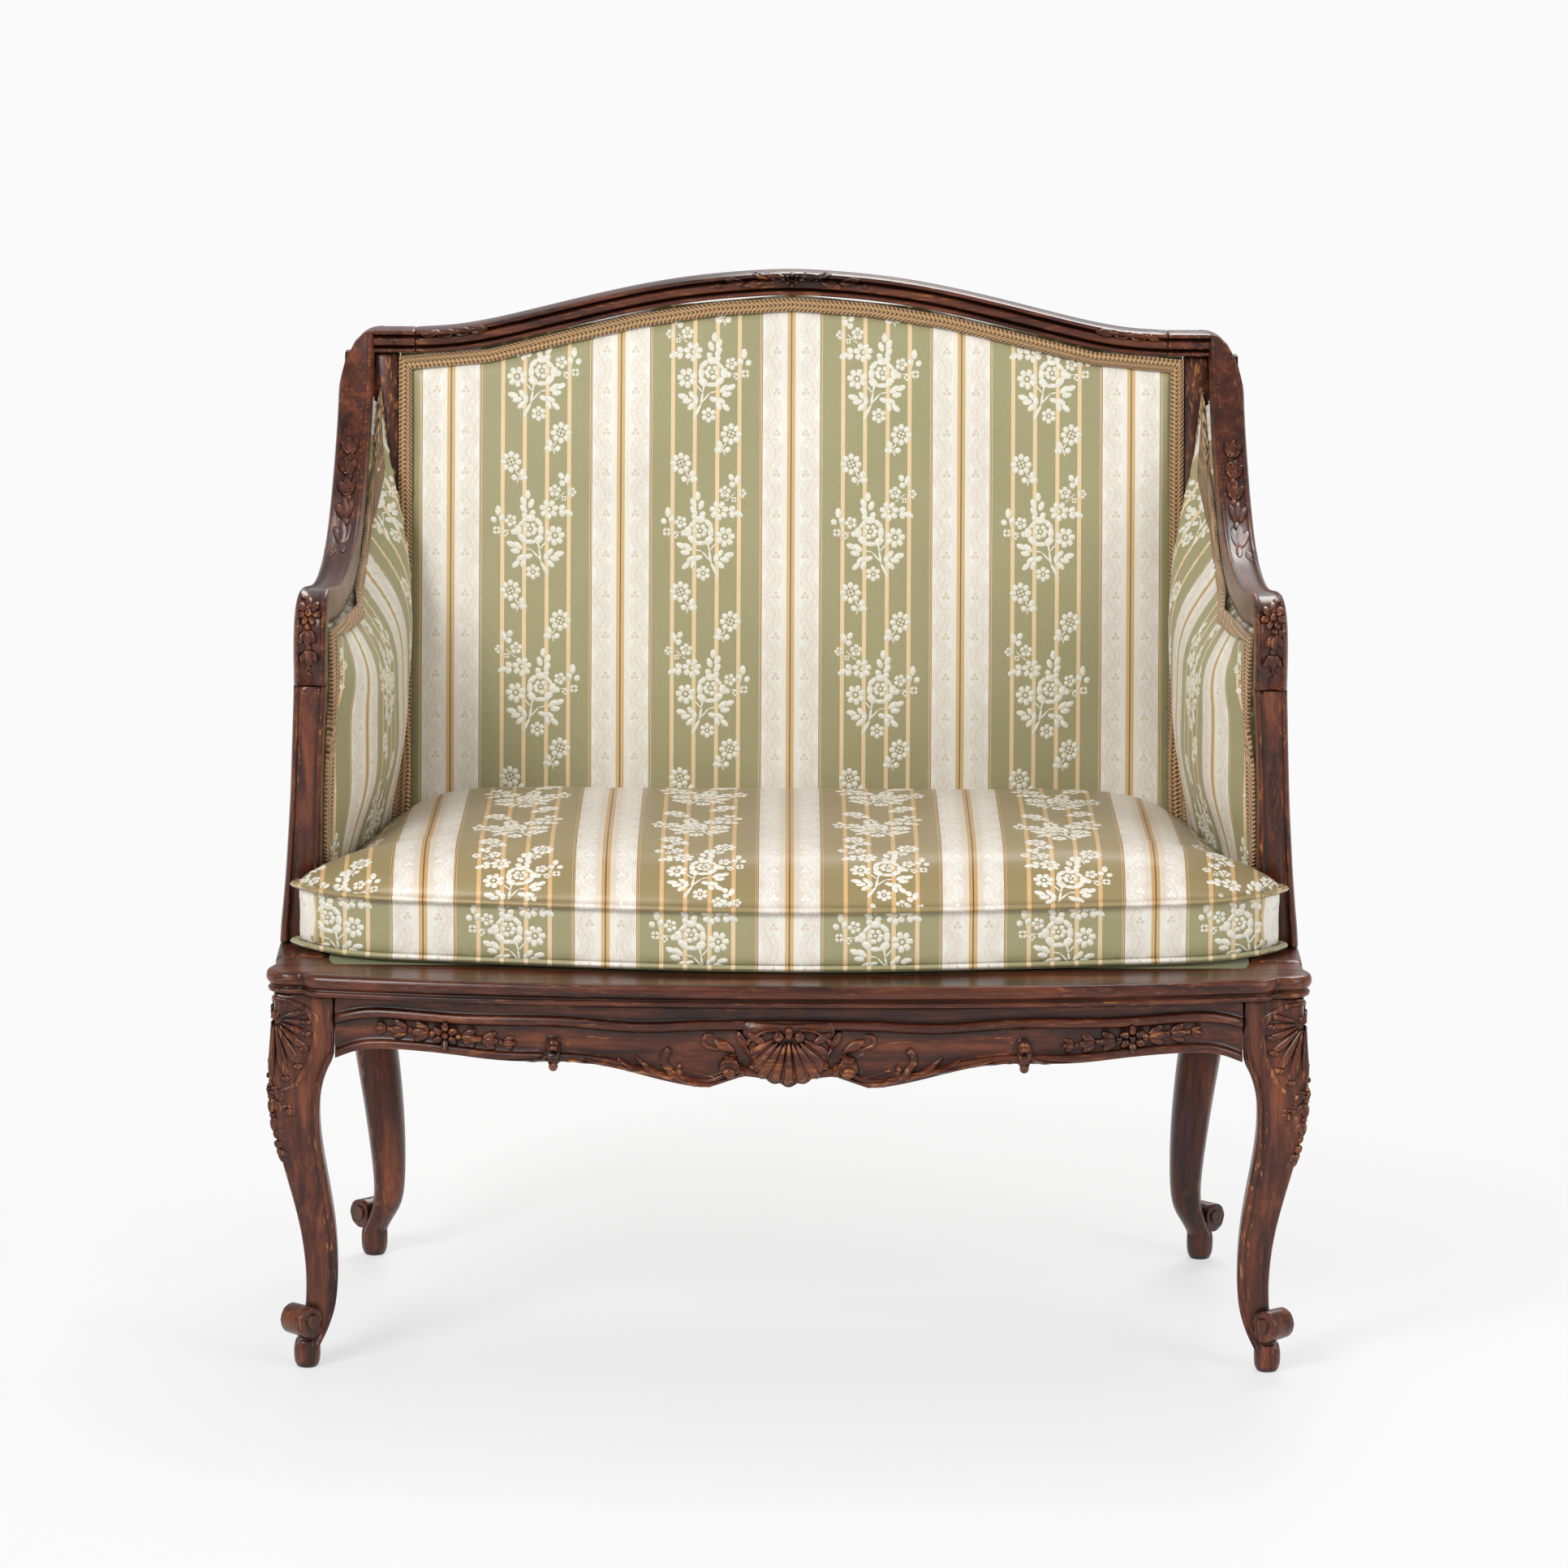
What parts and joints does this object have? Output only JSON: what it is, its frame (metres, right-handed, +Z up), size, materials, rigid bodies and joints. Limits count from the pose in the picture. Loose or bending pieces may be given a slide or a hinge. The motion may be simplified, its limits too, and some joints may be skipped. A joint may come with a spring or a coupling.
{
  "type": "bergere chair",
  "caption": "Wide Louis XV style armchair with closed padded sides, wings that sweep down to the arms, cabriole legs, a shell carved rail and a loose T shaped seat cushion.",
  "frame": {"origin": "middle of the bounding box on the floor", "axes": "+X to the sitter's left, which is the viewer's right from the front, +Y to the back, +Z up"},
  "size_m": [1, 0.6578, 1],
  "materials": {
    "carved_beech": "stained, carved and waxed",
    "plain_beech": "planed, unfinished",
    "striped_silk": "striped floral silk lampas",
    "gold_braid": "woven two-cord braid",
    "deck_linen": "plain olive linen",
    "jute": "woven jute",
    "spring_steel": "drawn wire",
    "black_cotton": "thin black cotton"
  },
  "bodies": {
    "frame": {"arm_post_left": "carved_beech", "arm_post_right": "carved_beech", "arm_rail_left": "carved_beech", "arm_rail_right": "carved_beech", "back_braid": "gold_braid", "back_cover": "striped_silk", "back_lower_rail": "plain_beech", "back_outside_braid": "gold_braid", "back_pad": "striped_silk", "back_stile_left": "carved_beech", "back_stile_right": "carved_beech", "crest_rail": "carved_beech", "deck_cover": "deck_linen", "deck_pad": "deck_linen", "dust_cover": "black_cotton", "front_corner_block_left": "plain_beech", "front_corner_block_right": "plain_beech", "front_leg_left": "carved_beech", "front_leg_right": "carved_beech", "front_rail": "carved_beech", "hessian": "jute", "rear_corner_block_left": "plain_beech", "rear_corner_block_right": "plain_beech", "rear_leg_left": "carved_beech", "rear_leg_right": "carved_beech", "rear_rail": "plain_beech", "seat_frame_back": "carved_beech", "seat_frame_front": "carved_beech", "seat_frame_side_left": "carved_beech", "seat_frame_side_right": "carved_beech", "seat_spring_1": "spring_steel", "seat_spring_2": "spring_steel", "seat_spring_3": "spring_steel", "seat_spring_4": "spring_steel", "seat_spring_5": "spring_steel", "seat_spring_6": "spring_steel", "side_braid_left": "gold_braid", "side_braid_right": "gold_braid", "side_cover_left": "striped_silk", "side_cover_right": "striped_silk", "side_lower_rail_left": "plain_beech", "side_lower_rail_right": "plain_beech", "side_outside_braid_left": "gold_braid", "side_outside_braid_right": "gold_braid", "side_pad_left": "striped_silk", "side_pad_right": "striped_silk", "side_rail_left": "carved_beech", "side_rail_right": "carved_beech", "webbing": "jute"},
    "cushion": {"seat_cushion": "striped_silk", "piping_top": "striped_silk", "piping_bottom": "striped_silk"}
  },
  "joints": [
    {"name": "cushion_lift", "type": "slide", "parent": "frame", "child": "cushion", "axis": [0, -0.9659, 0.2588], "range_m": [0, 0.6]}
  ]
}
